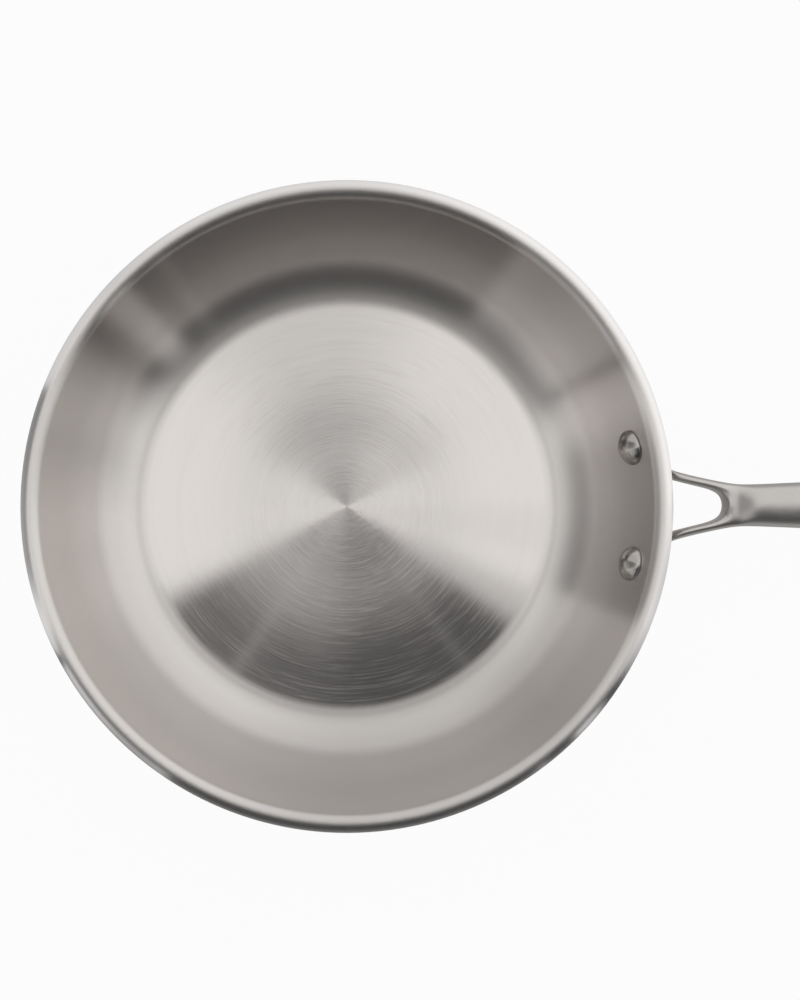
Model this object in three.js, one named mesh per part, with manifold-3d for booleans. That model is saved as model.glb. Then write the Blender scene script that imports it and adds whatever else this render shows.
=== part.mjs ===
// A flat-bottomed wok: a three-ply steel bowl with a pouring lip, and a forked cast handle on two rivets.
// Millimetres, +Z up. The origin is the centre of the base, and the handle runs out along +X.
import * as THREE from 'three';
import { mergeVertices } from 'three/addons/utils/BufferGeometryUtils.js';
import Module from 'manifold-3d';

const wasm = await Module();
wasm.setup();
const { Manifold, Mesh: SolidMesh } = wasm;
const { degToRad } = THREE.MathUtils;

// Bowl, measured on the cooking surface
const rimRadius = 140;
const floorRadius = 90.5;
const bowlDepth = 48;
const cornerRadius = 27;
const wallRadius = 150;
const lipRadius = 4.8;
const lipBreak = degToRad(25);
const flareRadius = 8.6;
const lipCurl = degToRad(40);

// Plies, from the cooking surface outwards
const cookingPly = 0.5;
const corePly = 1.6;
const outerPly = 0.5;
const bondGap = 0.05;

// Rivets: the drop is from the top of the lip to the axis, and the spacing is between the two axes
const rivetDrop = 15;
const rivetSpacing = 50.3;
const headRadius = 7.6;
const headHeight = 4.6;
const shankRadius = 3.2;
const tailRadius = 4.8;
const tailHeight = 1.5;
const fitGap = 0.3;

// Feet of the handle on the outside of the wall
const footThickness = 3.6;
const footHeight = 17;
const footEnd = 11;
const footTaper = 0.72;
const spotDepth = 1.8;
const spotMargin = 1;
const legSeat = 13.5;
const legSeatWidth = 6;

// Fork: two blades that run out under the lip and meet at the crotch
const forkSpread = 26.1;
const legWidth = 4.1;
const legHeight = 8.6;
const legFall = 0.8;
const legClearance = 0.8;
const crotchReach = 20.4;
const crotchSlope = 4;
const crotchWidth = 20.2;
const crotchOpening = 10.6;

// Grip, with distances beyond the rim
const handleReach = 195;
const handleRise = degToRad(10);
const tailRise = degToRad(7);
const neckWidth = 17.8;
const neckThickness = 11.4;
const neckReach = 27.5;
const scoopLead = 0.8;
const scoopDepth = 2.4;
const stopReach = 33.5;
const stopRise = 0.8;
const restReach = 42;
const restDip = 0.9;
const restFlare = 0.1;
const gripFront = 54;
const gripFlare = 0.3;
const gripWidth = 23.6;
const gripThickness = 14.6;
const gripReach = 105;
const tailWidth = 20;
const tailThickness = 10.2;
const tailTaper = 0.5;
const slotWidth = 9;
const slotLength = 21;
const slotMargin = 11;
const edgeShare = 0.48;

// Fineness of the facets
const bowlSegments = 50;
const rivetSegments = 20;
const cornerSteps = 4;
const wallSteps = 4;
const lipSteps = 4;
const flareSteps = 1;
const domeSteps = 4;
const smoothing = 2;
// Smoothing slims the cage, a free strand more than a webbed one
const cageGain = 1.08;
const webbedGain = 1.03;

const bowlThickness = cookingPly + corePly + outerPly + 2 * bondGap;
const floorLevel = bowlThickness;
const rimLevel = floorLevel + bowlDepth;

// The bowl's section: a corner arc, a wall arc tangent to it, and a lip that bends the other way. The lip
// rolls over in a tight arc, and a wider one flares it out to the edge.
const cornerCentre = new THREE.Vector2(floorRadius, floorLevel + cornerRadius);
const flareGain = flareRadius - lipRadius;
const lipOverhang = flareRadius * Math.sin(lipCurl) - flareGain * Math.sin(lipBreak);
const lipCentre = new THREE.Vector2(rimRadius - lipOverhang, rimLevel - lipRadius);
const flareCentre = new THREE.Vector2(
  lipCentre.x - flareGain * Math.sin(lipBreak),
  lipCentre.y - flareGain * Math.cos(lipBreak),
);
const wallCentre = tangentCentre(
  cornerCentre, wallRadius - cornerRadius,
  lipCentre, wallRadius + lipRadius,
);
const cornerSlope = slopeTowards(wallCentre, cornerCentre);
const lipSlope = slopeTowards(wallCentre, lipCentre);
const bowlArcs = [
  { centre: cornerCentre, radius: cornerRadius, from: 0, to: cornerSlope, steps: cornerSteps },
  { centre: wallCentre, radius: wallRadius, from: cornerSlope, to: lipSlope, steps: wallSteps },
  { centre: lipCentre, radius: -lipRadius, from: lipSlope, to: -lipBreak, steps: lipSteps },
  { centre: flareCentre, radius: -flareRadius, from: -lipBreak, to: -lipCurl, steps: flareSteps },
];

// The point at the given distances from two centres, on the left of the way from the first to the second
function tangentCentre(first, firstDistance, second, secondDistance) {
  const across = second.clone().sub(first);
  const length = across.length();
  const along = (firstDistance ** 2 - secondDistance ** 2 + length ** 2) / (2 * length);
  const aside = Math.sqrt(firstDistance ** 2 - along ** 2);
  const unit = across.divideScalar(length);
  const leftwards = new THREE.Vector2(-unit.y, unit.x);
  return first.clone().addScaledVector(unit, along).addScaledVector(leftwards, aside);
}

// The slope of an arc about the centre, where its radius passes through the point
function slopeTowards(centre, point) {
  return Math.atan2(point.x - centre.x, centre.y - point.y);
}

// The bowl's section from the axis to the lip's edge, moved outwards from the cooking surface
function bowlPath(outwards) {
  const path = [new THREE.Vector2(0, floorLevel - outwards)];
  bowlArcs.forEach(({ centre, radius, from, to, steps }, index) => {
    for (let step = index === 0 ? 0 : 1; step <= steps; step++) {
      const slope = THREE.MathUtils.lerp(from, to, step / steps);
      const spoke = new THREE.Vector2(Math.sin(slope), -Math.cos(slope));
      path.push(centre.clone().addScaledVector(spoke, radius + outwards));
    }
  });
  return path;
}

// A solid of revolution about +Z from a profile that starts and ends on the axis
function revolve(profile, segments) {
  return new THREE.LatheGeometry(profile, segments).rotateX(Math.PI / 2);
}

function solidOf(geometry, matrix = new THREE.Matrix4()) {
  const bare = new THREE.BufferGeometry();
  bare.setAttribute('position', geometry.getAttribute('position').clone());
  bare.setIndex(geometry.getIndex());
  const merged = mergeVertices(bare.applyMatrix4(matrix));
  const vertProperties = merged.getAttribute('position').array;
  const triVerts = new Uint32Array(merged.getIndex().array);
  return new Manifold(new SolidMesh({ numProp: 3, vertProperties, triVerts }));
}

function geometryOf(solid) {
  const { vertProperties, triVerts } = solid.getMesh();
  const geometry = new THREE.BufferGeometry();
  geometry.setAttribute('position', new THREE.BufferAttribute(vertProperties, 3));
  geometry.setIndex(new THREE.BufferAttribute(triVerts, 1));
  geometry.computeVertexNormals();
  return geometry;
}

// Rivet axes: each has its origin on the cooking surface, X along the wall, Y up the wall and Z outwards.
// X points away from the handle's middle on the left, and towards it on the right.
const rivetSlope = Math.acos((wallCentre.y - (rimLevel - rivetDrop)) / wallRadius);
const rivetRadius = wallCentre.x + wallRadius * Math.sin(rivetSlope);
const rivetAzimuth = Math.asin(rivetSpacing / 2 / rivetRadius);

function rivetFrame(side) {
  const azimuth = side * rivetAzimuth;
  const round = new THREE.Vector3(Math.cos(azimuth), Math.sin(azimuth), 0);
  const origin = round.clone().multiplyScalar(rivetRadius).setZ(rimLevel - rivetDrop);
  const along = new THREE.Vector3(-Math.sin(azimuth), Math.cos(azimuth), 0);
  const up = round.clone().multiplyScalar(Math.cos(rivetSlope)).setZ(Math.sin(rivetSlope));
  const out = along.clone().cross(up);
  return new THREE.Matrix4().makeBasis(along, up, out).setPosition(origin);
}

// A bar along the rivet's axis between two distances from the cooking surface
function rivetBar(side, radius, from, to) {
  const bar = new THREE.CylinderGeometry(radius, radius, to - from, rivetSegments);
  bar.rotateX(Math.PI / 2).translate(0, 0, (from + to) / 2);
  return solidOf(bar, rivetFrame(side));
}

const sides = [1, -1];
const footTop = bowlThickness + fitGap + footThickness;
// A flat-seated head touches the hollow wall at its edge first, so it stands off by the hollows both ways
const headSeat = headRadius ** 2 / 2 * (1 / rivetRadius + 1 / wallRadius) + fitGap;

// One ply of the bowl, drilled for the rivets
function ply(inside, outside) {
  const profile = [...bowlPath(outside), ...bowlPath(inside).reverse()];
  const holes = sides.map((side) => rivetBar(side, shankRadius + fitGap, -headRadius, footTop));
  return geometryOf(solidOf(revolve(profile, bowlSegments)).subtract(Manifold.union(holes)));
}

// A domed cap from its edge to its crown: heights grow from the base
function dome(radius, height, base, direction) {
  const sphere = (radius ** 2 + height ** 2) / (2 * height);
  const opening = Math.asin(Math.min(1, radius / sphere));
  return Array.from({ length: domeSteps + 1 }, (_, step) => {
    const angle = opening * (1 - step / domeSteps);
    const rise = sphere * Math.cos(angle) - (sphere - height);
    return new THREE.Vector2(sphere * Math.sin(angle), base + direction * rise);
  });
}

// A rivet along +Z: the big head inside the bowl, the shank, and the closed tail on the foot
function rivetProfile() {
  const tailSeat = footTop + fitGap;
  return [
    ...dome(headRadius, headHeight, -headSeat, -1).reverse(),
    new THREE.Vector2(shankRadius, -headSeat),
    new THREE.Vector2(shankRadius, tailSeat),
    ...dome(tailRadius, tailHeight, tailSeat, 1),
  ];
}

// The handle's centre line rises from below the lip, and flattens towards its end
const lipUnderside = flareCentre.y + (flareRadius - bowlThickness) * Math.cos(lipCurl);
const legLevel = lipUnderside - legClearance - legHeight / 2;

function handleLevel(reach) {
  const flatten = (Math.tan(tailRise) - Math.tan(handleRise)) / (2 * handleReach);
  return legLevel + Math.tan(handleRise) * reach + flatten * reach ** 2;
}

// The handle's cage is two strands of four edges, one on each side of the middle. They run free as the legs
// of the fork and past the hanging slot, and a web joins them elsewhere. A station gives its distance beyond
// the rim, the strand's outer and inner sides, and how far they reach above and below the centre line.
const legSide = legWidth / 2 * cageGain;
const legEdge = legHeight / 2 * cageGain;
const legShoulder = legEdge * legFall;
const web = slotWidth / 2;
const neck = neckThickness / 2;
const grip = gripThickness / 2;
const tail = tailThickness / 2;
const crotchSide = crotchWidth / 2 * webbedGain;
const neckSide = neckWidth / 2 * webbedGain;
const gripSide = gripWidth / 2 * webbedGain;
const tailSide = tailWidth / 2 * webbedGain;
const legRoot = crotchSide / 2 + crotchOpening / 4;
const slotEnd = handleReach - slotMargin;
const slotStart = slotEnd - slotLength;

function legStation(reach, middle) {
  const heights = { edge: legShoulder, top: legEdge, bottom: legEdge };
  return { reach, outer: middle + legSide, inner: middle - legSide, ...heights };
}

function gripStation(reach, flare, half, dip = 0) {
  const outer = THREE.MathUtils.lerp(neckSide, gripSide, flare);
  return { reach, outer, inner: web, edge: half * edgeShare, top: half - dip, bottom: half };
}

function tailStation(reach, outer, half) {
  return { ...gripStation(reach, 1, half), outer };
}

// The crotch is wider than the web, and its wall leans away from the bowl. A scoop follows it and ends in a
// low thumb stop, behind which the thumb rests.
const crotch = { outer: crotchSide, inner: crotchOpening / 2, edge: legShoulder, lean: crotchSlope };
const stations = [
  legStation(0, forkSpread / 2),
  legStation(crotchReach / 2, (forkSpread / 2 + legRoot) / 2),
  { ...gripStation(crotchReach, 0, neck, scoopLead), ...crotch },
  gripStation(neckReach, 0, neck, scoopDepth),
  gripStation(stopReach, 0, (neck + grip) / 2, -stopRise),
  gripStation(restReach, restFlare, grip, restDip),
  gripStation(gripFront, gripFlare, grip),
  gripStation(gripReach, 1, grip),
  tailStation(slotStart - slotMargin, (gripSide + tailSide) / 2, (grip + tail) / 2),
  tailStation(slotStart, tailSide, tail),
  tailStation(slotEnd, tailSide, tail),
  tailStation(handleReach, tailSide * tailTaper, tail * tailTaper),
];
const crotchIndex = stations.findIndex(({ reach }) => reach === crotchReach);
const slotIndex = stations.findIndex(({ reach }) => reach === slotStart);

// The four points of a strand at a station: outer top, inner top, inner bottom, outer bottom
function strandRing(side, { reach, outer, inner, edge, top, bottom, lean = 0 }) {
  const level = handleLevel(reach);
  const far = rimRadius + reach;
  return [
    new THREE.Vector3(far, side * outer, level + edge),
    new THREE.Vector3(far + lean, side * inner, level + top),
    new THREE.Vector3(far, side * inner, level - bottom),
    new THREE.Vector3(far, side * outer, level - edge),
  ];
}

// A foot's columns run along the wall, from the leg's seat to past the rivet. Each column holds the front
// top, front bottom, back bottom and back top. The back reaches into the wall, and is cut away later.
function footColumns(side) {
  const half = footHeight / 2 * cageGain;
  const end = half * footTaper;
  const front = footTop + spotDepth;
  const back = bowlThickness - footHeight / 2;
  const frame = rivetFrame(side);
  const columns = [[-legSeat, end], [legSeatWidth - legSeat, half], [0, half], [footEnd, end]];
  return columns.map(([along, high]) => {
    const corners = [[high, front], [-high, front], [-high, back], [high, back]];
    return corners.map(([up, out]) => new THREE.Vector3(side * along, up, out).applyMatrix4(frame));
  });
}

function handleCage() {
  const points = [];
  const quads = [];
  const add = (corners) => corners.map((corner) => points.push(corner) - 1);
  const face = (side, quad) => quads.push(side > 0 ? quad : quad.reverse());
  const strands = sides.map((side) => stations.map((station) => add(strandRing(side, station))));

  sides.forEach((side, strandIndex) => {
    const strand = strands[strandIndex];
    const columns = footColumns(side).map(add);
    const seat = [columns[1][0], columns[0][0], columns[0][1], columns[1][1]];
    [seat, ...strand].slice(0, -1).forEach((ring, index) => {
      const next = strand[index];
      const free = index <= crotchIndex || index - 1 === slotIndex;
      for (const corner of free ? [0, 1, 2, 3] : [0, 2, 3]) {
        const turn = (corner + 1) % 4;
        face(side, [ring[corner], ring[turn], next[turn], next[corner]]);
      }
    });
    face(side, [...strand.at(-1)]);
    columns.slice(0, -1).forEach((column, index) => {
      const next = columns[index + 1];
      for (const corner of index === 0 ? [1, 2, 3] : [0, 1, 2, 3]) {
        const turn = (corner + 1) % 4;
        face(side, [next[corner], column[corner], column[turn], next[turn]]);
      }
    });
    face(side, [...columns[0]].reverse());
    face(side, [...columns.at(-1)]);
  });

  const [left, right] = strands;
  const webWall = (index) => [left[index][1], left[index][2], right[index][2], right[index][1]];
  for (let index = crotchIndex; index < stations.length - 1; index++) {
    if (index === slotIndex) continue;
    const next = index + 1;
    quads.push([left[index][1], right[index][1], right[next][1], left[next][1]]);
    quads.push([right[index][2], left[index][2], left[next][2], right[next][2]]);
  }
  quads.push(webWall(crotchIndex), webWall(slotIndex).reverse());
  quads.push(webWall(slotIndex + 1), webWall(stations.length - 1).reverse());
  return { points, quads };
}

function mean(vectors) {
  const sum = new THREE.Vector3();
  vectors.forEach((vector) => sum.add(vector));
  return sum.divideScalar(vectors.length);
}

// One round of Catmull-Clark smoothing of a closed cage of quads
function smooth({ points, quads }) {
  const middles = quads.map((quad) => mean(quad.map((index) => points[index])));
  const edges = new Map();
  const around = points.map(() => ({ faces: [], edges: [] }));
  const edgeOf = (start, end) => edges.get(`${Math.min(start, end)} ${Math.max(start, end)}`);
  quads.forEach((quad, face) => {
    quad.forEach((start, corner) => {
      const end = quad[(corner + 1) % 4];
      if (!edgeOf(start, end)) {
        const middle = mean([points[start], points[end]]);
        around[start].edges.push(middle);
        around[end].edges.push(middle);
        edges.set(`${Math.min(start, end)} ${Math.max(start, end)}`, { start, end, faces: [] });
      }
      edgeOf(start, end).faces.push(middles[face]);
      around[start].faces.push(middles[face]);
    });
  });
  const moved = points.map((point, index) => {
    const valence = around[index].faces.length;
    const pull = mean(around[index].faces).addScaledVector(mean(around[index].edges), 2);
    return pull.addScaledVector(point, valence - 3).divideScalar(valence);
  });
  const finer = [...moved, ...middles];
  for (const edge of edges.values()) {
    edge.index = finer.push(mean([points[edge.start], points[edge.end], ...edge.faces])) - 1;
  }
  const split = quads.flatMap((quad, face) => quad.map((start, corner) => {
    const end = quad[(corner + 1) % 4];
    const before = quad[(corner + 3) % 4];
    return [start, edgeOf(start, end).index, points.length + face, edgeOf(before, start).index];
  }));
  return { points: finer, quads: split };
}

function cageGeometry({ points, quads }) {
  const geometry = new THREE.BufferGeometry().setFromPoints(points);
  geometry.setIndex(quads.flatMap(([a, b, c, d]) => [a, b, c, a, c, d]));
  return geometry;
}

// The handle as cast, then seated on the bowl, drilled and spot-faced for the rivets
function handleGeometry() {
  let cage = handleCage();
  for (let round = 0; round < smoothing; round++) cage = smooth(cage);
  const clearLevel = rimLevel + fitGap;
  const bowlSpace = bowlPath(bowlThickness + fitGap);
  bowlSpace.push(new THREE.Vector2(rimRadius + fitGap, clearLevel), new THREE.Vector2(0, clearLevel));
  const cuts = sides.flatMap((side) => [
    rivetBar(side, shankRadius + fitGap, 0, footTop),
    rivetBar(side, tailRadius + spotMargin, footTop, footTop + footHeight),
  ]);
  const bowl = solidOf(revolve(bowlSpace, bowlSegments));
  return geometryOf(solidOf(cageGeometry(cage)).subtract(Manifold.union([bowl, ...cuts])));
}

const finishes = {
  brushedInside: { color: 0xc9c4bf, roughness: 0.25 },
  aluminium: { color: 0xd8d9db, roughness: 0.4 },
  brushedOutside: { color: 0xbab5b0, roughness: 0.35 },
  satinCasting: { color: 0xb5b0ab, roughness: 0.42 },
  polished: { color: 0xd0ccc8, roughness: 0.15 },
};

const group = new THREE.Group();
group.name = 'wok';

function addMesh(name, geometry, finish) {
  const material = new THREE.MeshStandardMaterial({ name, metalness: 1, ...finish });
  const mesh = new THREE.Mesh(geometry, material);
  mesh.name = name;
  group.add(mesh);
  return mesh;
}

const coreInside = cookingPly + bondGap;
const coreOutside = coreInside + corePly;
addMesh('cooking_surface_ply', ply(0, cookingPly), finishes.brushedInside);
addMesh('aluminium_core_ply', ply(coreInside, coreOutside), finishes.aluminium);
addMesh('outer_steel_ply', ply(coreOutside + bondGap, bowlThickness), finishes.brushedOutside);
addMesh('handle', handleGeometry(), finishes.satinCasting);
for (const [name, side] of [['rivet_left', 1], ['rivet_right', -1]]) {
  const rivet = addMesh(name, revolve(rivetProfile(), rivetSegments), finishes.polished);
  rivet.applyMatrix4(rivetFrame(side));
}

export default group;
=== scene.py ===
# %% [markdown]
# # A flat-bottomed wok, dressed in Blender
# The packed solids come in first, as a fixed frame in metres. Everything made below lies where they say,
# because both are drawn from the same sizes. The box around the solids is kept, so that the finished model
# can be compared with it.

# %% Load the frame
import math

import bmesh
import bpy
from mathutils import Matrix, Vector


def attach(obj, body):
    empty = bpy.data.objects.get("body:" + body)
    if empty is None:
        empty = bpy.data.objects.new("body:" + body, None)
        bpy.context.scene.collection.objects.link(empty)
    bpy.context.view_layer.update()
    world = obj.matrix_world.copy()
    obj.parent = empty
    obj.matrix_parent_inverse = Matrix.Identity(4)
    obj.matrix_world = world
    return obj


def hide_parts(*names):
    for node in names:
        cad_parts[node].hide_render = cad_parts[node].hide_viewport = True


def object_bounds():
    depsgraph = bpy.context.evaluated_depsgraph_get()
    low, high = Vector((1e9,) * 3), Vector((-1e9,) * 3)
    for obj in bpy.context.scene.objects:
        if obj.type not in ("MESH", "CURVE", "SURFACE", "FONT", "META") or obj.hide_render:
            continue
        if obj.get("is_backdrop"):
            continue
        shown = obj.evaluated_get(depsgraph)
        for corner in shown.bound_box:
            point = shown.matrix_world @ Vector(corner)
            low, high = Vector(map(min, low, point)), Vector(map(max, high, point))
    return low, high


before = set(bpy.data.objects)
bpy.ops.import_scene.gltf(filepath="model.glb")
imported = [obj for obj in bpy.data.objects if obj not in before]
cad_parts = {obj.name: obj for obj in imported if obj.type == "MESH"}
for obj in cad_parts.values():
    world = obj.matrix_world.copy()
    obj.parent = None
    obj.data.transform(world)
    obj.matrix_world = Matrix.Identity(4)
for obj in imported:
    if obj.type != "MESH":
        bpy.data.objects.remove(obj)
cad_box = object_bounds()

mm = 0.001
print("solids:", sorted(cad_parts))

# %% [markdown]
# ## The section of the bowl
# The bowl is pressed from one sheet of three bonded layers, so every layer follows the same line: flat floor,
# corner, nearly straight wall, and a lip that rolls outwards, tight at the bend and wider where it flares.
# All sizes are given once, and the layers are offsets of the same line.

# %% Sizes of the bowl
rim_radius = 140 * mm
floor_radius = 90.5 * mm
bowl_depth = 48 * mm
corner_radius = 27 * mm
wall_radius = 150 * mm
lip_radius = 4.8 * mm
lip_break = math.radians(25)
flare_radius = 8.6 * mm
lip_curl = math.radians(40)
cooking_ply = 0.5 * mm
core_ply = 1.6 * mm
outer_ply = 0.5 * mm
bond_gap = 0.05 * mm
bowl_thickness = cooking_ply + core_ply + outer_ply + 2 * bond_gap
rim_level = bowl_thickness + bowl_depth
print(f"rim {2 * rim_radius / mm:.0f} mm across, sheet {bowl_thickness / mm:.1f} mm thick")

# %% [markdown]
# A curve through a few points would show dents in a polished wall. Instead each part of the line is an arc
# that meets the next one without a kink, as on the drawing of a press tool. The centre of the wall's arc is
# found from its distances to the centres on either side of it.

# %% Arcs of the section
corner_steps = 20
wall_steps = 20
lip_steps = 22
flare_steps = 6


def tangent_centre(first, first_distance, second, second_distance):
    """The point at the given distances from two centres, left of the way from the first to the second."""
    across = second - first
    along = (first_distance**2 - second_distance**2 + across.length_squared) / (2 * across.length)
    aside = math.sqrt(first_distance**2 - along**2)
    unit = across.normalized()
    return first + unit * along + Vector((-unit.y, unit.x)) * aside


def slope_towards(centre, point):
    """The angle from straight down to the way from a centre to a point."""
    return math.atan2(point.x - centre.x, centre.y - point.y)


corner_centre = Vector((floor_radius, bowl_thickness + corner_radius))
break_spoke = Vector((math.sin(lip_break), math.cos(lip_break)))
flare_gain = flare_radius - lip_radius
lip_overhang = flare_radius * math.sin(lip_curl) - flare_gain * break_spoke.x
lip_centre = Vector((rim_radius - lip_overhang, rim_level - lip_radius))
flare_centre = lip_centre - flare_gain * break_spoke
wall_centre = tangent_centre(corner_centre, wall_radius - corner_radius, lip_centre, wall_radius + lip_radius)
corner_slope = slope_towards(wall_centre, corner_centre)
lip_slope = slope_towards(wall_centre, lip_centre)
arcs = [
    (corner_centre, corner_slope, corner_steps),
    (wall_centre, lip_slope - corner_slope, wall_steps),
    (lip_centre, -lip_break - lip_slope, lip_steps),
    (flare_centre, lip_break - lip_curl, flare_steps),
]
print(f"wall slope {math.degrees(corner_slope):.1f} to {math.degrees(lip_slope):.1f} degrees")

# %% [markdown]
# ## Spinning a layer
# A draughtsman draws an arc with a compass, and the spin operator does the same with one vertex: it swings
# about a centre and leaves an edge behind at every step. Two such lines, one for each face of a layer, are
# closed at the lip and swung once round the axis. That is also how a lathe makes the real surface, and it
# gives an even closed shell.

# %% Helpers for spun pieces
round_steps = 192
merge_distance = 0.001 * mm
down_the_page = (0, -1, 0)
upwards = (0, 0, 1)


def kept(found, kind):
    """Only the vertices, or only the faces, of what an operator returned."""
    return [item for item in found if isinstance(item, kind)]


def swing(bm, tip, centre, angle, steps):
    """Draws an arc in the XZ plane from a vertex and returns the vertex at its end."""
    drawn = bmesh.ops.spin(
        bm, geom=[tip], cent=(centre.x, 0, centre.y), axis=down_the_page, angle=angle, steps=steps
    )
    return kept(drawn["geom_last"], bmesh.types.BMVert)[0]


def draw_to(bm, tip, x, z):
    """Draws a straight line in the XZ plane from a vertex and returns the vertex at its end."""
    end = bmesh.ops.extrude_vert_indiv(bm, verts=[tip])["verts"][0]
    end.co = (x, 0, z)
    return end


def spin_round(bm, steps):
    """Turns the drawn profile once about Z into a closed shell."""
    profile = bm.verts[:] + bm.edges[:]
    bmesh.ops.spin(
        bm, geom=profile, cent=(0, 0, 0), axis=upwards, angle=math.tau, steps=steps, use_merge=True
    )
    bmesh.ops.remove_doubles(bm, verts=bm.verts, dist=merge_distance)
    bmesh.ops.recalc_face_normals(bm, faces=bm.faces)


print(f"once round takes {round_steps} steps of {360 / round_steps} degrees")

# %% [markdown]
# A bmesh is only a sketch until it is stored in an object. Holes are drilled as on the workbench, by taking
# a bar away from the piece. A boolean modifier does that, and it is applied at once, so that every later
# step finds a plain mesh.

# %% Helpers that finish and cut a mesh
def finish_mesh(bm, name):
    """Makes a smooth object from the mesh."""
    for face in bm.faces:
        face.smooth = True
    mesh = bpy.data.meshes.new(name)
    bm.to_mesh(mesh)
    bm.free()
    piece = bpy.data.objects.new(name, mesh)
    bpy.context.scene.collection.objects.link(piece)
    return piece


def apply_modifiers(piece):
    """Replaces the piece's mesh with what its modifiers make of it."""
    made = bpy.data.meshes.new_from_object(piece.evaluated_get(bpy.context.evaluated_depsgraph_get()))
    piece.modifiers.clear()
    piece.data = made


def cut(piece, cutters):
    """Takes the cutters out of the piece and removes them."""
    for cutter in cutters:
        modifier = piece.modifiers.new("cut", "BOOLEAN")
        modifier.operation = "DIFFERENCE"
        modifier.solver = "EXACT"
        modifier.object = cutter
    bpy.context.view_layer.update()
    apply_modifiers(piece)
    for cutter in cutters:
        bpy.data.objects.remove(cutter)


print("pieces go into", bpy.context.scene.collection.name)

# %% [markdown]
# ## Where the rivets go
# Two rivets hold the handle, side by side below the lip. Each one stands square to the sloping wall, so it
# gets axes of its own: along the wall, up the wall, and out through it. A matrix of those three directions
# moves anything that is made along Z to its place.

# %% Rivet axes
rivet_drop = 15 * mm
rivet_spacing = 50.3 * mm
shank_radius = 3.2 * mm
fit_gap = 0.3 * mm
foot_thickness = 3.6 * mm
foot_top = bowl_thickness + fit_gap + foot_thickness
bar_segments = 48
sides = (1, -1)

rivet_slope = math.acos((wall_centre.y - (rim_level - rivet_drop)) / wall_radius)
rivet_radius = wall_centre.x + wall_radius * math.sin(rivet_slope)
rivet_azimuth = math.asin(rivet_spacing / 2 / rivet_radius)


def rivet_frame(side):
    """The rivet's axes, with its origin on the cooking surface."""
    along = Vector((0, 1, 0))
    up = Vector((math.cos(rivet_slope), 0, math.sin(rivet_slope)))
    axes = Matrix((along, up, along.cross(up))).transposed().to_4x4()
    place = Matrix.Translation((rivet_radius, 0, rim_level - rivet_drop))
    return Matrix.Rotation(side * rivet_azimuth, 4, "Z") @ place @ axes


def rivet_bar(side, radius, start, end):
    """A round bar along the rivet's axis, between two distances from the cooking surface."""
    bm = bmesh.new()
    middle = rivet_frame(side) @ Matrix.Translation((0, 0, (start + end) / 2))
    bmesh.ops.create_cone(
        bm, cap_ends=True, segments=bar_segments, radius1=radius, radius2=radius, depth=end - start,
        matrix=middle,
    )
    return finish_mesh(bm, "rivet_bar")


print("rivets at", [tuple(round(v / mm, 2) for v in rivet_frame(side).translation) for side in sides])

# %% [markdown]
# ## The three layers
# The cooking surface is stainless steel, the thick middle layer is aluminium because it spreads heat well,
# and the outside is a magnetic steel. Only the ground edge of the lip shows all three. Each layer is spun as
# a shell of its own thickness and drilled for the rivets, so that nothing runs through anything else.

# %% Spin the layers
floor_steps = 30
ridge_height = 0.18 * mm
ridge_start = 24 * mm


def ridge(reach):
    """The faint ring that pressing leaves on the cooking floor."""
    share = max(0, (reach - ridge_start) / (floor_radius - ridge_start))
    return ridge_height * (1 - math.cos(math.tau * share)) / 2


def spin_layer(name, inside, outside):
    """A layer between two distances from the cooking surface, drilled for the rivets."""
    bm = bmesh.new()
    tips = []
    for outwards in (outside, inside):
        level = bowl_thickness - outwards
        tip = bm.verts.new((0, 0, level))
        for step in range(1, floor_steps + 1):
            reach = floor_radius * step / floor_steps
            tip = draw_to(bm, tip, reach, level + (ridge(reach) if outwards == 0 else 0))
        for centre, angle, steps in arcs:
            tip = swing(bm, tip, centre, angle, steps)
        tips.append(tip)
    bm.edges.new(tips)
    spin_round(bm, round_steps)
    piece = finish_mesh(bm, name)
    cut(piece, [rivet_bar(side, shank_radius + fit_gap, -foot_top, 2 * foot_top) for side in sides])
    return piece


core_inside = cooking_ply + bond_gap
core_outside = core_inside + core_ply
cooking_skin = spin_layer("cooking_skin", 0, cooking_ply)
core_sheet = spin_layer("core_sheet", core_inside, core_outside)
outer_skin = spin_layer("outer_skin", core_outside + bond_gap, bowl_thickness)
for piece in (cooking_skin, core_sheet, outer_skin):
    print(piece.name, len(piece.data.polygons), "faces")

# %% [markdown]
# ## The rivets
# A pan rivet is a solid pin with a big domed head, pushed through from the inside and closed over the foot
# with a press. The head is polished, and its edge is a little rounded so that food does not catch on it. One
# profile with two domes is spun and then stood on the wall.

# %% Spin the rivets
head_radius = 7.6 * mm
head_height = 4.6 * mm
head_edge = 0.9 * mm
edge_rounding = 0.3 * mm
tail_radius = 4.8 * mm
tail_height = 1.5 * mm
seat_gap = 0.1 * mm
head_seat = head_radius**2 / (2 * wall_radius) + seat_gap
tail_seat = foot_top + fit_gap
head_steps = 14
tail_steps = 8
rivet_steps = 64
same_place = 0.01 * mm


def dome_angle(radius, height):
    """The centre's distance below the crown, and the angle from the axis to the edge."""
    sphere = (radius**2 + height**2) / (2 * height)
    return sphere, math.asin(min(1, radius / sphere))


def is_head_edge(edge):
    """Whether an edge runs round the head, at the top or the bottom of its short upright side."""
    first, second = (v.co for v in edge.verts)
    round_head = all(abs(place.xy.length - head_radius) < same_place for place in (first, second))
    at_edge = any(abs(first.z - level) < same_place for level in (-head_seat, -head_seat - head_edge))
    return round_head and at_edge and abs(first.z - second.z) < same_place


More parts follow.
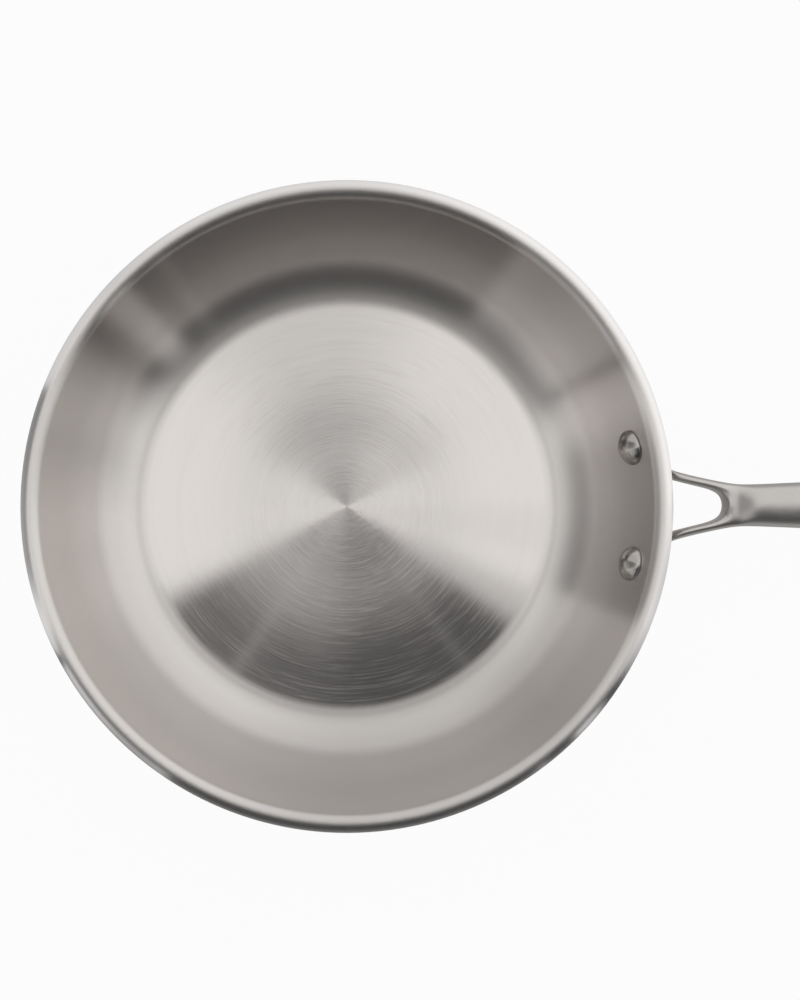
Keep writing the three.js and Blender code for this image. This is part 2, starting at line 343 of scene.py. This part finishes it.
def spin_rivet(name, side):
    """A rivet with both its heads, standing on the wall."""
    bm = bmesh.new()
    sphere, opening = dome_angle(head_radius, head_height - head_edge)
    crown = bm.verts.new((0, 0, -head_seat - head_height))
    tip = swing(bm, crown, Vector((0, sphere - head_seat - head_height)), opening, head_steps)
    for radius, level in (
        (head_radius, -head_seat), (shank_radius, -head_seat),
        (shank_radius, tail_seat), (tail_radius, tail_seat),
    ):
        tip = draw_to(bm, tip, radius, level)
    sphere, opening = dome_angle(tail_radius, tail_height)
    swing(bm, tip, Vector((0, tail_seat + tail_height - sphere)), opening, tail_steps)
    spin_round(bm, rivet_steps)
    rims = [edge for edge in bm.edges if is_head_edge(edge)]
    bmesh.ops.bevel(
        bm, geom=rims, offset=edge_rounding, segments=3, profile=0.5, affect="EDGES", material=-1
    )
    bmesh.ops.transform(bm, matrix=rivet_frame(side), verts=bm.verts)
    bmesh.ops.recalc_face_normals(bm, faces=bm.faces)
    return finish_mesh(bm, name)


rivets = {"rivet_left": spin_rivet("domed_rivet_left", 1), "rivet_right": spin_rivet("domed_rivet_right", -1)}
print("rivet faces:", [len(piece.data.polygons) for piece in rivets.values()])

# %% [markdown]
# ## The cast handle
# The handle is the showpiece: one casting with two feet, two blade-like legs, a round crotch between them, a
# scoop that leads up to a thumb stop, a grip, and a slot to hang it by. A pattern maker would carve it from
# a coarse block and round it off. Here the coarse block is a cage that grows by extruding faces from the
# tail to the feet, and a subdivision surface rounds it off. Rounding draws the sides in, so the cage is
# made larger by a small gain.

# %% Sizes of the handle
fork_spread = 26.1 * mm
leg_width = 4.1 * mm
leg_height = 8.6 * mm
leg_fall = 0.8
leg_clearance = 0.8 * mm
crotch_reach = 20.4 * mm
crotch_slope = 4 * mm
crotch_width = 20.2 * mm
crotch_opening = 10.6 * mm
handle_reach = 195 * mm
handle_rise = math.radians(10)
tail_rise = math.radians(7)
neck_width = 17.8 * mm
neck_thickness = 11.4 * mm
neck_reach = 27.5 * mm
scoop_lead = 0.8 * mm
scoop_depth = 2.4 * mm
stop_reach = 33.5 * mm
stop_rise = 0.8 * mm
rest_reach = 42 * mm
rest_dip = 0.9 * mm
rest_flare = 0.1
grip_front = 54 * mm
grip_flare = 0.3
grip_width = 23.6 * mm
grip_thickness = 14.6 * mm
grip_reach = 105 * mm
tail_width = 20 * mm
tail_thickness = 10.2 * mm
tail_taper = 0.5
slot_width = 9 * mm
slot_length = 21 * mm
slot_margin = 11 * mm
edge_share = 0.48
cage_gain = 1.08
webbed_gain = 1.03
print(f"handle {handle_reach / mm:.0f} mm beyond the rim, grip {grip_width / mm:.1f} mm wide")

# %% [markdown]
# The centre line starts below the lip, rises, and flattens towards the tail. At each station along it the
# cage has the same eight corners: an outer and an inner side, left and right, top and bottom. A station only
# says how far out and how high those corners lie.

# %% Stations of the cage
lip_underside = flare_centre.y + (flare_radius - bowl_thickness) * math.cos(lip_curl)
leg_level = lip_underside - leg_clearance - leg_height / 2
leg_side = leg_width / 2 * cage_gain
leg_edge = leg_height / 2 * cage_gain
leg_shoulder = leg_edge * leg_fall
web = slot_width / 2
neck, grip, tail = (thickness / 2 for thickness in (neck_thickness, grip_thickness, tail_thickness))
crotch_side, neck_side, grip_side, tail_side = (
    width / 2 * webbed_gain for width in (crotch_width, neck_width, grip_width, tail_width)
)
leg_root = crotch_side / 2 + crotch_opening / 4
slot_end = handle_reach - slot_margin
slot_start = slot_end - slot_length


def handle_level(reach):
    """The height of the centre line at a distance beyond the rim."""
    flatten = (math.tan(tail_rise) - math.tan(handle_rise)) / (2 * handle_reach)
    return leg_level + math.tan(handle_rise) * reach + flatten * reach**2


def leg_station(reach, middle):
    """A station of the two legs, which lie on either side of the middle."""
    sides_at = {"outer": middle + leg_side, "inner": middle - leg_side}
    return {"reach": reach, **sides_at, "edge": leg_shoulder, "top": leg_edge, "bottom": leg_edge, "lean": 0}


def grip_station(reach, flare, half, dip=0, **more):
    """A station of the grip, between the neck's width and the grip's, with a top that may dip."""
    outer = neck_side + (grip_side - neck_side) * flare
    heights = {"edge": half * edge_share, "top": half - dip, "bottom": half, "lean": 0}
    return {"reach": reach, "outer": outer, "inner": web, **heights, **more}


crotch = {"outer": crotch_side, "inner": crotch_opening / 2, "edge": leg_shoulder, "lean": crotch_slope}
grip_stations = [
    grip_station(handle_reach, 1, tail * tail_taper, outer=tail_side * tail_taper),
    grip_station(slot_end, 1, tail, outer=tail_side),
    grip_station(slot_start, 1, tail, outer=tail_side),
    grip_station(slot_start - slot_margin, 1, (grip + tail) / 2, outer=(grip_side + tail_side) / 2),
    grip_station(grip_reach, 1, grip),
    grip_station(grip_front, grip_flare, grip),
    grip_station(rest_reach, rest_flare, grip, rest_dip),
    grip_station(stop_reach, 0, (neck + grip) / 2, -stop_rise),
    grip_station(neck_reach, 0, neck, scoop_depth),
    grip_station(crotch_reach, 0, neck, scoop_lead, **crotch),
]
leg_stations = [
    leg_station(crotch_reach / 2, (fork_spread / 2 + leg_root) / 2),
    leg_station(0, fork_spread / 2),
]
print("stations:", len(grip_stations), "on the grip and", len(leg_stations), "on the legs")

# %% [markdown]
# Growing is one extrusion: the end faces are copied, the copies move to the next station, and walls appear
# between. A note of each corner's role, such as left, inner and top, goes along with the copies, so that a
# station can place them. The first end faces stay and close the tail.

# %% Grow the cage
def corner_at(station, side, edge, height):
    """Where a corner of the cage lies at a station."""
    outer = edge == "outer"
    rise = {"top": 1, "bottom": -1}[height] * station["edge" if outer else height]
    lean = station["lean"] if (edge, height) == ("inner", "top") else 0
    level = handle_level(station["reach"]) + rise
    return Vector((rim_radius + station["reach"] + lean, side * station[edge], level))


def grow(bm, faces, roles, place, keep=False):
    """Extrudes the faces, and puts each new corner where place(role) says."""
    role_here = {tuple(v.co): roles[v] for face in faces for v in face.verts}
    grown = bmesh.ops.extrude_face_region(bm, geom=faces)["geom"]
    if not keep:
        bmesh.ops.delete(bm, geom=faces, context="FACES")
    corners = kept(grown, bmesh.types.BMVert)
    roles.update({v: role_here[tuple(v.co)] for v in corners})
    for v in corners:
        v.co = place(*roles[v])
    return kept(grown, bmesh.types.BMFace), {roles[v]: v for v in corners}


bm = bmesh.new()
crease = bm.edges.layers.float.new("crease_edge")
bmesh.ops.create_grid(bm, x_segments=3, y_segments=1, size=1)
columns = [(-1, "outer"), (-1, "inner"), (1, "inner"), (1, "outer")]
ordered = sorted(bm.verts, key=lambda v: (round(v.co.x, 3), v.co.y))
roles = {v: (*columns[index // 2], ("bottom", "top")[index % 2]) for index, v in enumerate(ordered)}
ends = bm.faces[:]
for v, role in roles.items():
    v.co = corner_at(grip_stations[0], *role)
rings = [{role: v for v, role in roles.items()}]
for station in grip_stations[1:]:
    ends, ring = grow(bm, ends, roles, lambda *role: corner_at(station, *role), keep=len(rings) == 1)
    rings.append(ring)
print("grip:", len(bm.faces), "faces")

# %% [markdown]
# The slot is cut by deleting the top and bottom faces there and bridging the two holes. At the crotch the
# middle face stays behind as its wall, with a crease to keep its upper edge firm, and the two legs go on
# alone.

# %% Cut the slot and grow the legs
crotch_crease = 0.6
slot_edges = []
for height in ("top", "bottom"):
    loop = [rings[1][-1, "inner", height], rings[1][1, "inner", height]]
    loop += [rings[2][1, "inner", height], rings[2][-1, "inner", height]]
    lid = bm.faces.get(loop)
    slot_edges += lid.edges
    bmesh.ops.delete(bm, geom=[lid], context="FACES_ONLY")
bmesh.ops.bridge_loops(bm, edges=slot_edges)

crotch_edge = bm.edges.get((ring[-1, "inner", "top"], ring[1, "inner", "top"]))
crotch_edge[crease] = crotch_crease
legs = [face for face in ends if any(roles[v][1] == "outer" for v in face.verts)]
for station in leg_stations:
    legs, ring = grow(bm, legs, roles, lambda *role: corner_at(station, *role))
print("with slot and legs:", len(bm.faces), "faces")

# %% [markdown]
# A foot begins where the leg meets it. The end of the leg is laid on the foot's front, pushed back through
# the place of the wall, and the outer side of that block is then drawn along the wall past the rivet. What
# reaches into the bowl is cut away once the cage is rounded, so the foot fits the wall exactly.

# %% Grow the feet
foot_height = 17 * mm
foot_end = 11 * mm
foot_taper = 0.72
spot_depth = 1.8 * mm
leg_seat = 13.5 * mm
leg_seat_width = 6 * mm
half_foot = foot_height / 2 * cage_gain
foot_front = foot_top + spot_depth
foot_back = bowl_thickness - foot_height / 2
foot_columns = {
    "inner": (-leg_seat, half_foot * foot_taper),
    "outer": (leg_seat_width - leg_seat, half_foot),
    "middle": (0, half_foot),
    "end": (foot_end, half_foot * foot_taper),
}


def foot_corner(side, column, height, out):
    """Where a corner of the foot lies, at a distance out from the cooking surface."""
    along, half = foot_columns[column]
    up = half if height == "top" else -half
    return rivet_frame(side) @ Vector((side * along, up, out))


legs, front = grow(bm, legs, roles, lambda side, edge, height: foot_corner(side, edge, height, foot_front))
legs, back = grow(bm, legs, roles, lambda side, edge, height: foot_corner(side, edge, height, foot_back))
depths = {"front": foot_front, "back": foot_back}
flanks = []
for side in sides:
    block = {(depth, height): ring[side, "outer", height]
             for depth, ring in (("front", front), ("back", back)) for height in ("top", "bottom")}
    roles.update({v: (side, *role) for role, v in block.items()})
    loop = [block["front", "top"], block["front", "bottom"], block["back", "bottom"], block["back", "top"]]
    flanks.append(bm.faces.get(loop))
for column in ("middle", "end"):
    flanks, ring = grow(
        bm, flanks, roles, lambda side, depth, height: foot_corner(side, column, height, depths[depth])
    )
bmesh.ops.recalc_face_normals(bm, faces=bm.faces)
print("cage:", len(bm.faces), "faces, open edges:", sum(not edge.is_manifold for edge in bm.edges))

# %% [markdown]
# The cage is rounded off, and then the casting is worked as in a workshop: its feet are ground to the curve
# of the wall, drilled for the rivets and spot-faced, so that the closed rivet heads sit on flat rings.

# %% Round off and work the casting
spot_margin = 1 * mm
handle = finish_mesh(bm, "cast_handle")
rounding = handle.modifiers.new("rounding", "SUBSURF")
rounding.levels = rounding.render_levels = 4
apply_modifiers(handle)

plug = bmesh.new()
tip = draw_to(plug, plug.verts.new((0, 0, -seat_gap)), floor_radius, -seat_gap)
for centre, angle, steps in arcs:
    tip = swing(plug, tip, centre, angle, steps)
tip = draw_to(plug, tip, rim_radius + seat_gap, rim_level + seat_gap)
draw_to(plug, tip, 0, rim_level + seat_gap)
spin_round(plug, round_steps)

cutters = [finish_mesh(plug, "bowl_plug")]
for side in sides:
    cutters.append(rivet_bar(side, shank_radius + fit_gap, 0, foot_top + spot_depth))
    cutters.append(rivet_bar(side, tail_radius + spot_margin, foot_top, foot_top + foot_height))
cut(handle, cutters)
print("handle:", len(handle.data.polygons), "faces")

# %% [markdown]
# ## Writing shaders as sums
# A steel finish is mostly arithmetic: distances, noise and a few blends. This small class wraps a node's
# output so that plus, minus, times and the rest make Math nodes, and one method makes every other node from
# its type, its settings and its inputs.

# %% A socket that adds up
class Socket:
    def __init__(self, tree, output=None):
        self.tree = tree
        self.output = output

    def node(self, kind, settings, values, output=0):
        made = self.tree.nodes.new(kind)
        for name, value in settings.items():
            setattr(made, name, value)
        for key, value in values.items():
            if isinstance(value, Socket):
                self.tree.links.new(value.output, made.inputs[key])
            else:
                made.inputs[key].default_value = value
        return Socket(self.tree, made.outputs[output] if made.outputs else None)

    def math(self, operation, *values):
        return self.node("ShaderNodeMath", {"operation": operation}, dict(enumerate(values)))

    def vector(self, operation, *values, output=0, **named):
        values = {**dict(enumerate(values)), **named}
        return self.node("ShaderNodeVectorMath", {"operation": operation}, values, output)

    def step(self, low, high, to_low=0, to_high=1):
        """A smooth change from one value to another as this one goes from low to high."""
        values = {0: self, 1: low, 2: high, 3: to_low, 4: to_high}
        return self.node("ShaderNodeMapRange", {"interpolation_type": "SMOOTHSTEP"}, values)

    def colours(self, first, second):
        """A blend of two colours by this factor: a Mix node's inputs 6 and 7, and its output 2."""
        ends = [colour if isinstance(colour, Socket) else (*colour, 1) for colour in (first, second)]
        values = {0: self, 6: ends[0], 7: ends[1]}
        return self.node("ShaderNodeMix", {"data_type": "RGBA"}, values, 2)

    def __add__(self, other):
        return self.math("ADD", self, other)

    def __radd__(self, other):
        return self.math("ADD", other, self)

    def __sub__(self, other):
        return self.math("SUBTRACT", self, other)

    def __rsub__(self, other):
        return self.math("SUBTRACT", other, self)

    def __mul__(self, other):
        return self.math("MULTIPLY", self, other)

    def __rmul__(self, other):
        return self.math("MULTIPLY", other, self)

    def __truediv__(self, other):
        return self.math("DIVIDE", self, other)

    def __rtruediv__(self, other):
        return self.math("DIVIDE", other, self)

    def __abs__(self):
        return self.math("ABSOLUTE", self)


print("a socket can:", [name for name in vars(Socket) if not name.startswith("_")])

# %% [markdown]
# ## Bare metal
# Every piece of the pan is bare metal, and the finishes differ only in colour, roughness and relief. So each
# material starts empty, works those three out, and is closed by the same few nodes.

# %% Helpers for metal
def empty_material(name):
    """A material with no nodes yet, and a socket that adds nodes to it."""
    material = bpy.data.materials.new(name)
    material.use_nodes = True
    material.node_tree.nodes.clear()
    return material, Socket(material.node_tree)


def noise(nodes, place, **values):
    """Noise that swings evenly about nothing."""
    return nodes.node("ShaderNodeTexNoise", {}, {"Vector": place, **values}) - 0.5


def close_metal(nodes, colour, roughness, depth, relief, grain):
    """Ends a material as bare metal, with its relief in units of the depth."""
    bump = nodes.node("ShaderNodeBump", {}, {"Strength": 1, "Distance": depth, "Height": relief})
    looks = {"Base Color": colour, "Metallic": 1, "Roughness": roughness, "Normal": bump, **grain}
    surface = nodes.node("ShaderNodeBsdfPrincipled", {}, looks)
    nodes.node("ShaderNodeOutputMaterial", {}, {"Surface": surface})


print("materials so far:", len(bpy.data.materials))

# %% [markdown]
# ## Steel brushed in circles
# The bowl turns on a spindle while an abrasive pad is held against it, which leaves fine lines round the
# axis. Light then spreads across the lines and hardly along them, and that is what draws the fan of light
# and dark on the floor. Anisotropy does this, turned by a quarter so that it spreads away from the centre.
# The lines are noise drawn out round the axis.

# %% Brush lines
brush_kinds = {
    "fine": {"spacing": 0.3 * mm, "turn": 2},
    "scratches": {"spacing": 0.6 * mm, "turn": 3.5},
    "rings": {"spacing": 2.4 * mm, "turn": 0.8},
}


def bowl_place(nodes):
    """A point on the bowl as its direction from the axis, its radius and its level."""
    place = nodes.node("ShaderNodeTexCoord", {}, {}, "Object")
    flat = nodes.vector("MULTIPLY", place, (1, 1, 0))
    radius = nodes.vector("LENGTH", flat, output="Value")
    level = nodes.node("ShaderNodeSeparateXYZ", {}, {0: place}, "Z")
    return nodes.vector("NORMALIZE", flat), radius, level


def brush_lines(nodes, direction, reach, spacing, turn):
    """Noise that changes quickly along the bowl's section and slowly round its axis."""
    lift = nodes.node("ShaderNodeCombineXYZ", {}, {2: reach / spacing})
    drawn_out = nodes.vector("ADD", nodes.vector("SCALE", direction, Scale=turn), lift)
    return noise(nodes, drawn_out, Scale=1, Detail=3, Roughness=0.6)


print("brush lines:", {name: f"{kind['spacing'] / mm:.1f} mm" for name, kind in brush_kinds.items()})

# %% [markdown]
# A deeper scratch scatters more light, so it is a change of roughness, and it shows where the floor mirrors
# something dark. The wall is finished with a softer pad, which leaves it rougher with fainter marks. Low on
# the wall the colour carries painted shade and a painted highlight: a dark line just beyond the floor's edge,
# then a darker and a lighter band, which soften the corner's light. The lip is buffed smoother, and its
# lighter colour is a painted highlight.

# %% Brushed finishes
floor_blend = 2.5 * mm
lip_blend = (rim_radius - 4.5 * mm, rim_radius - 1.5 * mm)
# How far beyond the floor's edge the painted dark line lies.
painted_line_reach = 2.8 * mm
wall_marks = 0.25
quarter_turn = 0.25


# Painted shade and a painted highlight low on the wall, carried in the colour.
def painted_wall_bands(radius):
    """Painted shade and highlight beyond the flat floor: a dark line, then a darker and a lighter band."""
    beyond = radius - floor_radius
    painted_dark_line = abs(beyond - painted_line_reach).step(0.5 * mm, 1.8 * mm, 1, 0)
    painted_dark_band = beyond.step(6.5 * mm, 12.5 * mm) * beyond.step(12.5 * mm, 18.5 * mm, 1, 0)
    painted_light_band = beyond.step(14.5 * mm, 21.5 * mm) * beyond.step(23.5 * mm, 34.5 * mm, 1, 0)
    return painted_light_band * 0.6 - painted_dark_band * 0.25 - painted_dark_line * 0.33


def brushed_steel(name, dark, light, smooth, rough, anisotropy, lip_highlight_colour=None):
    """Steel with a smooth floor and a rougher wall, and a lip that may get a lighter colour, a painted
    highlight.
    """
    material, nodes = empty_material(name)
    direction, radius, level = bowl_place(nodes)
    along = radius + level
    fine, scratches, rings = (brush_lines(nodes, direction, along, **kind) for kind in brush_kinds.values())
    lip = radius.step(*lip_blend)
    flat = radius.step(floor_radius - floor_blend, floor_radius + floor_blend, 1, 0)
    marks = wall_marks + (1 - wall_marks) * flat
    # The tone carries the painted bands of shade and highlight low on the wall.
    tone = marks * (fine + scratches) * 0.2 + rings * 0.27 + painted_wall_bands(radius) + 0.33
    # The lip's lighter colour is a painted highlight; its lower roughness is the buffing.
    colour = lip.colours(tone.colours(dark, light), lip_highlight_colour or light)
    satin = rough + flat * (smooth - rough) - lip * 0.08
    scatter = marks * (fine * 0.02 + scratches.step(-0.02, 0.2) * 0.035)
    relief = marks * (fine * 0.002 + scratches * 0.004) + rings * 0.006
    grain = {"Anisotropic": anisotropy, "Anisotropic Rotation": quarter_turn}
    close_metal(nodes, colour, satin + scatter, mm, relief, grain)
    return material


# The cooking steel's lighter lip colour is a painted highlight.
cooking_finish = brushed_steel(
    "circle_brushed_steel", dark=(0.62, 0.59, 0.565), light=(0.74, 0.705, 0.68), smooth=0.078, rough=0.26,
    anisotropy=1, lip_highlight_colour=(0.82, 0.8, 0.785),
)
outer_finish = brushed_steel(
    "satin_outer_steel", dark=(0.53, 0.505, 0.485), light=(0.63, 0.60, 0.575), smooth=0.3, rough=0.3,
    anisotropy=0.6,
)
core_finish = brushed_steel(
    "ground_aluminium", dark=(0.68, 0.68, 0.69), light=(0.78, 0.78, 0.79), smooth=0.4, rough=0.4,
    anisotropy=0.3,
)
print("brushed finishes:", cooking_finish.name, outer_finish.name, core_finish.name)

# %% [markdown]
# ## Cast and polished steel
# The casting is blasted and then linished along its length, so its satin has short fine lines that run with
# the handle. The rivet heads are polished by tumbling, which leaves only a faint waviness and a few scuffs.
# Both are noise on the piece's own coordinates, stretched along the handle for the lines.

# %% Finishes of the handle and rivets
line_stretch = (90, 2200, 2200)
line_depth = 0.01 * mm
wave_depth = 0.02 * mm


def linished_steel(name, dark, light, roughness):
    """Satin steel with lines along X."""
    material, nodes = empty_material(name)
    place = nodes.node("ShaderNodeTexCoord", {}, {}, "Object")
    drawn_out = nodes.vector("MULTIPLY", place, line_stretch)
    lines = noise(nodes, drawn_out, Scale=1, Detail=3, Roughness=0.6)
    clouds = noise(nodes, place, Scale=60, Detail=4)
    colour = (lines + clouds + 0.5).colours(dark, light)
    close_metal(nodes, colour, roughness + lines * 0.1 + clouds * 0.1, line_depth, lines + clouds, {})
    return material


def polished_steel(name, dark, light, roughness):
    """Bright steel, faintly wavy and scuffed."""
    material, nodes = empty_material(name)
    place = nodes.node("ShaderNodeTexCoord", {}, {}, "Object")
    waves = noise(nodes, place, Scale=420, Detail=2)
    scuffs = noise(nodes, place, Scale=1600, Detail=4)
    colour = (scuffs + 0.5).colours(dark, light)
    close_metal(nodes, colour, roughness + scuffs * 0.08, wave_depth, waves, {})
    return material


handle_finish = linished_steel(
    "linished_casting", dark=(0.58, 0.556, 0.532), light=(0.68, 0.651, 0.627), roughness=0.36
)
rivet_finish = polished_steel(
    "tumbled_rivet", dark=(0.44, 0.42, 0.4), light=(0.54, 0.515, 0.49), roughness=0.2
)
print("other finishes:", handle_finish.name, rivet_finish.name)

# %% [markdown]
# ## Putting it together
# Each new piece takes the place of its solid and rides on the part's only body, since nothing on a riveted
# pan moves. Edges sharper than the angle below stay crisp, and the rest is shaded smooth.

# %% Stand the pieces in for the solids
crisp_angle = math.radians(35)
standing_in = [
    (cooking_skin, "cooking_surface_ply", "cooking_steel", cooking_finish),
    (core_sheet, "aluminium_core_ply", "core_aluminium", core_finish),
    (outer_skin, "outer_steel_ply", "outer_steel", outer_finish),
    (handle, "handle", "cast_handle", handle_finish),
    (rivets["rivet_left"], "rivet_left", "rivet_steel", rivet_finish),
    (rivets["rivet_right"], "rivet_right", "rivet_steel", rivet_finish),
]
for piece, node, slot, finish in standing_in:
    piece.data.set_sharp_from_angle(angle=crisp_angle)
    piece.data.materials.clear()
    piece.data.materials.append(finish)
    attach(piece, "root")
    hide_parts(node)
print("pieces:", [piece.name for piece, *_ in standing_in])

# %% [markdown]
# ## The studio
# The pan lies on white paper. Light strong enough to make the paper white would bleach the steel, so the
# paper is a plain grey that glows for the camera and keeps a faint soft shadow of the pan. In reflections it
# glows only a little, because the photograph shows dark lower edges on the lip and the handle.

# %% Paper floor
paper_reach = 12
paper_grey = (0.55, 0.55, 0.55, 1)
white = (1, 1, 1, 1)
seen_glow = 0.96
mirrored_glow = 0.2

paper, nodes = empty_material("white_paper")
seen = nodes.node("ShaderNodeLightPath", {}, {}, "Is Camera Ray")
mirrored = nodes.node("ShaderNodeLightPath", {}, {}, "Is Glossy Ray")
matt = nodes.node("ShaderNodeBsdfDiffuse", {}, {"Color": paper_grey})
glow = nodes.node("ShaderNodeEmission", {}, {"Color": white, "Strength": 1})
glowing = seen * seen_glow + mirrored * mirrored_glow
sheet = nodes.node("ShaderNodeMixShader", {}, {0: glowing, 1: matt, 2: glow})
nodes.node("ShaderNodeOutputMaterial", {}, {"Surface": sheet})

ground = bmesh.new()
bmesh.ops.create_grid(ground, x_segments=1, y_segments=1, size=paper_reach)
floor = finish_mesh(ground, "paper_floor")
floor.data.materials.append(paper)
floor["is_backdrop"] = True
print("floor:", floor.name)

# %% [markdown]
# Polished metal shows its surroundings, so the light is a tent of pale cloth with an open front. Hung as
# objects the tent would stand in other views, so it is drawn in the world by direction. The heading goes
# round the pan in degrees, from the handle by way of the back to the left and the front, and a second angle
# goes down from straight above. The heading's own seam falls where the cloth is plain.

# %% Directions in the tent
middle_heading = 210
world = bpy.data.worlds.new("light_tent")
bpy.context.scene.world = world
world.use_nodes = True
world.node_tree.nodes.clear()
nodes = Socket(world.node_tree)
look = nodes.node("ShaderNodeTexCoord", {}, {}, "Generated")
turned = nodes.node(
    "ShaderNodeVectorRotate", {"rotation_type": "Z_AXIS"},
    {"Vector": look, "Angle": -math.radians(middle_heading)},
)
ahead, aside, height = (nodes.node("ShaderNodeSeparateXYZ", {}, {0: turned}, axis) for axis in "XYZ")
heading = aside.math("ARCTAN2", aside, ahead) * math.degrees(1) + middle_heading
down = height.math("ARCCOSINE", height) * math.degrees(1)
low = down.step(15, 65)
print("headings from", middle_heading - 180, "to", middle_heading + 180, "degrees")

# %% [markdown]
# The flat floor of the pan mirrors only what hangs overhead: the edges of the cloth and the thin boom of a
# lamp. The corner and the wall mirror what stands opposite, so the dark panel on the left shows at the
# right. Each strip of cloth that hangs a little darker is a soft step about a heading.

# %% Cloth, panel and boom
cloth_light = 1.1
left_opening = (203.5, 212.5)
right_opening = (321, 329)
boom_heading = math.radians(98)
boom_side = (math.sin(boom_heading), -math.cos(boom_heading), 0)


def near(value, middle, inner, outer):
    """One within the inner distance of the middle, and nothing beyond the outer one."""
    return abs(value - middle).step(inner, outer, 1, 0)


def strip(strength, middle, inner, outer):
    """What a darker strip about a heading leaves of the light."""
    return 1 - strength * near(heading, middle, inner, outer)


left_edge = heading + 3 * down.step(5, 12)
right_edge = heading - 4.5 * low
cloth = heading.math("MAXIMUM", left_edge.step(*left_opening, 1, 0), right_edge.step(*right_opening))
horizon = near(down, middle=79, inner=4, outer=10)
depth = heading.step(157.5, 159) * heading.step(189, 201, 0.72, 0.25) * heading.step(214, 220, 1, 0)
panel = 1 - down.step(12, 48) * (1 - 0.25 * horizon) * depth
across_boom = nodes.vector("DOT_PRODUCT", look, boom_side, output="Value")
boom = 1 - 0.45 * abs(across_boom).step(0.003, 0.02, 1, 0) * down.step(0.3, 1.5, 1, 0)
strips = [
    strip(0.2, middle=102, inner=8, outer=48),
    strip(0.3 * down.step(10, 45), middle=150, inner=12, outer=38),
    strip(0.3 * low, middle=336, inner=8, outer=25),
    strip(0.33, middle=329, inner=2, outer=11),
    strip(0.07, middle=353, inner=6, outer=8),
]
cloth_level = math.prod(strips, start=cloth_light * panel * boom)
print("cloth strips:", len(strips))

# %% [markdown]
# The open front is nearly dark. A little light comes through overhead, two seams glow, and a wing on each
# side of the opening draws a pale patch on the wall opposite. A pole stands at the left edge. The camera
# sees plain white instead of all this.

# %% Open front, and the world's light
room_light = 0.055
overhead = heading.step(258, 274, 0.36, 0.09) * down.step(0.5, 2.5, 0.5, 1) * down.step(2.6, 4.8, 1, 0)
left_glow = 0.035 * heading.step(228, 250, 1, 0)
low_glow = 0.16 * horizon * near(heading, middle=275, inner=30, outer=50)
front = room_light + left_glow + overhead + low_glow
left_seam = 0.26 * near(heading, middle=235.5, inner=0, outer=2)
right_seam = 0.16 * near(heading, middle=306.8, inner=0, outer=2)
left_wing_light = heading.step(214, 230, 0.62, 0.37) * heading.step(233.5, 236, 1, 0)
left_wing = down.step(28, 60) * left_edge.step(*left_opening) * left_wing_light
right_wing = 0.6 * low * heading.step(314, 315.5) * heading.step(319, 324, 1, 0)
wings = down.step(76, 86, 1, 0) * (left_wing + right_wing)
pole = strip(0.8 * low, middle=208, inner=0.6, outer=1.8)
level = pole * (front + left_seam + right_seam + wings + cloth * (cloth_level - front))

tent = nodes.node("ShaderNodeBackground", {}, {"Color": white, "Strength": level})
backdrop = nodes.node("ShaderNodeBackground", {}, {"Color": white, "Strength": 1})
seen = nodes.node("ShaderNodeLightPath", {}, {}, "Is Camera Ray")
both = nodes.node("ShaderNodeMixShader", {}, {0: seen, 1: tent, 2: backdrop})
nodes.node("ShaderNodeOutputWorld", {}, {"Surface": both})
print("tent:", world.name, len(world.node_tree.nodes), "nodes")

# %% [markdown]
# ## The camera
# The photograph looks straight down on the pan. The lens follows from the rim's size in the picture and from
# the camera's height above the lip, and the shift moves the pan to its place left of the middle without
# turning the camera.

# %% Camera
camera_height = 1.06
camera_turn = math.radians(-0.17)
picture_height = 1000
rim_in_picture = 326.5
lip_top = flare_centre.y + flare_radius * math.cos(lip_curl)
lens = bpy.data.cameras.new("overhead")
lens.sensor_width = 36
lens.lens = lens.sensor_width * rim_in_picture / picture_height * camera_height / rim_radius
lens.shift_x = 0.0531
lens.shift_y = 0.0065
camera = bpy.data.objects.new("overhead", lens)
camera.rotation_euler.z = camera_turn
camera.location = (0, 0, lip_top + camera_height)
bpy.context.scene.collection.objects.link(camera)
bpy.context.scene.camera = camera
bpy.context.scene.view_settings.view_transform = "Standard"
print(f"lens {lens.lens:.1f} mm")

# %% [markdown]
# ## Sizes to compare
# A slip in scale is easy to miss in a picture. So the box around the finished model is written down next to
# the box around the solids, and the two should agree.

# %% Sizes to compare, and the end
boxes = {"cad": cad_box, "visual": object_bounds()}
for name, box in boxes.items():
    print(name, [round((high - low) / mm, 1) for low, high in zip(*box)], "mm")
